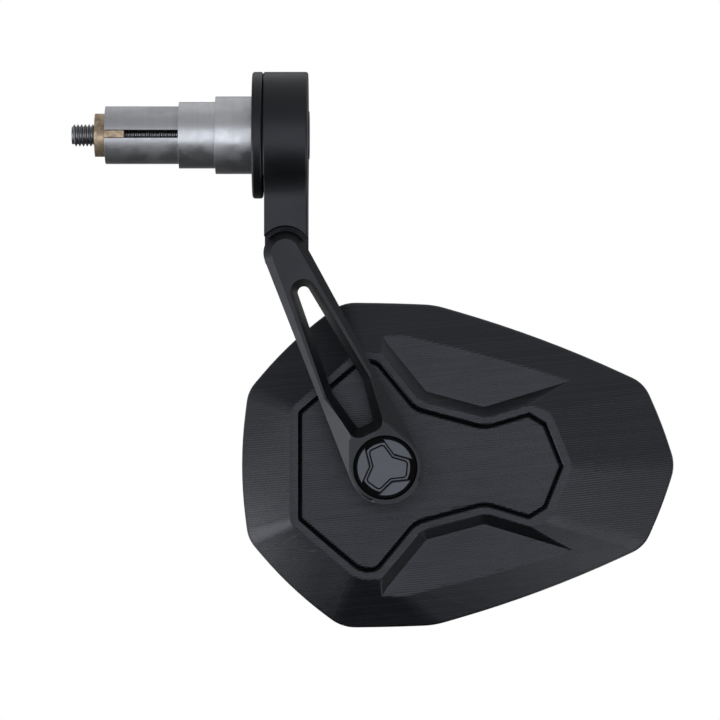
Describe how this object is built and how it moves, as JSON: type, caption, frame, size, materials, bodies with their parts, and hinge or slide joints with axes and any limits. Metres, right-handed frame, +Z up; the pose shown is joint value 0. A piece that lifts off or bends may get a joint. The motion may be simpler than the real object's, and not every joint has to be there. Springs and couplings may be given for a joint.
{
  "type": "motorcycle bar end mirror",
  "caption": "Motorcycle bar end mirror with an expanding bar insert, a turning hub, a folding windowed arm and a ball-jointed housing with convex glass.",
  "frame": {"origin": "on the handlebar's axis, at the face of the spacer collar that butts against the bar's end", "axes": "+X out of the handlebar along its axis, +Z up, +Y back to the rider, the way the glass faces"},
  "size_m": [0.1642, 0.0352, 0.1514],
  "materials": {
    "bright_aluminium": "turned, satin bright",
    "cone_brass": "dull turned",
    "bolt_steel": "plain bright",
    "satin_black": "fine bead blasted black anodised",
    "milled_black": "black anodised over fine milling lines",
    "cap_black": "black anodised, slightly lighter",
    "plug_black": "satin moulded",
    "seal_rubber": "matt",
    "bearing_polymer": "natural bearing polymer",
    "pad_foam": "closed cell foam tape",
    "mirror_glass": "convex silvered glass"
  },
  "bodies": {
    "insert": {"expander_sleeve": "bright_aluminium", "centring_ring_small": "bright_aluminium", "centring_ring_large": "bright_aluminium", "spacer_collar": "satin_black"},
    "bolt": {"clamp_bolt": "bolt_steel"},
    "cone": {"expander_cone": "cone_brass"},
    "hub": {"clamp_hub": "satin_black", "hub_end_cap": "plug_black", "bolt_washer": "bolt_steel", "pivot_friction_washer": "bearing_polymer", "pivot_disc_spring": "bolt_steel"},
    "arm": {"mirror_arm": "satin_black", "pivot_screw": "bolt_steel", "adjuster_cap": "cap_black", "cap_seal": "seal_rubber"},
    "seats": {"ball_seat_front": "bearing_polymer", "ball_seat_rear": "bearing_polymer"},
    "liner": {"ball_liner": "bearing_polymer"},
    "head": {"ball_stud": "bolt_steel", "stud_washer": "bolt_steel", "stud_nut": "bolt_steel", "mirror_housing": "milled_black", "glass_pad": "pad_foam", "mirror_glass": "mirror_glass"}
  },
  "joints": [
    {"name": "bolt_turn", "type": "hinge", "parent": "insert", "child": "bolt", "pos_m": [0, 0, 0], "axis": [-1, 0, 0], "range_deg": [0, 720]},
    {"name": "cone_draw", "type": "slide", "parent": "insert", "child": "cone", "axis": [1, 0, 0], "range_m": [0, 0.002]},
    {"name": "hub_turn", "type": "hinge", "parent": "insert", "child": "hub", "pos_m": [0, 0, 0], "axis": [1, 0, 0], "continuous": true},
    {"name": "arm_fold", "type": "hinge", "parent": "hub", "child": "arm", "pos_m": [0.009, 0, -0.0321], "axis": [0, -1, 0], "range_deg": [-85, 40]},
    {"name": "head_spin", "type": "hinge", "parent": "arm", "child": "seats", "pos_m": [0.03588, -0.002, -0.08974], "axis": [0, -1, 0], "range_deg": [-45, 45]},
    {"name": "head_pitch", "type": "hinge", "parent": "seats", "child": "liner", "pos_m": [0.03588, -0.002, -0.08974], "axis": [1, 0, 0], "range_deg": [-10, 10]},
    {"name": "head_yaw", "type": "hinge", "parent": "liner", "child": "head", "pos_m": [0.03588, -0.002, -0.08974], "axis": [0, 0, 1], "range_deg": [-10, 10]}
  ],
  "couplings": [
    {"joint": "cone_draw", "follows": "bolt_turn", "m_per_rad": 0.00015915}
  ]
}
